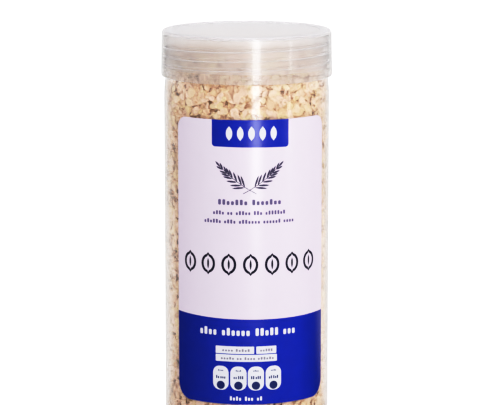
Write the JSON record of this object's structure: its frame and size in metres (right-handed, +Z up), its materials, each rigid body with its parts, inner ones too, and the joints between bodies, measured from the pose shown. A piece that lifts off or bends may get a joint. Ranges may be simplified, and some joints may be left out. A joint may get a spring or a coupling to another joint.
{
  "type": "jar of rolled oats",
  "caption": "Tall clear cylindrical jar filled with rolled oats, with a frosted screw lid and a wordless label round the front.",
  "frame": {"origin": "on the jar's axis, in the plane of the ring that the jar stands on", "axes": "+Z up along the jar's axis, -Y towards the front, which the label faces, +X to the viewer's right"},
  "size_m": [0.0796, 0.0796, 0.188],
  "materials": {
    "clear_plastic": "clear, smooth and glossy blown plastic",
    "frosted_plastic": "milky, half see-through moulded plastic with a soft sheen",
    "label_film": "satin film printed pale lavender white with deep blue fields",
    "rolled_oats": "dry matt cream and tan flakes with brown flecks of bran"
  },
  "bodies": {
    "root": {"jar": "clear_plastic", "lid": "frosted_plastic", "label": "label_film", "oats": "rolled_oats"}
  },
  "joints": []
}
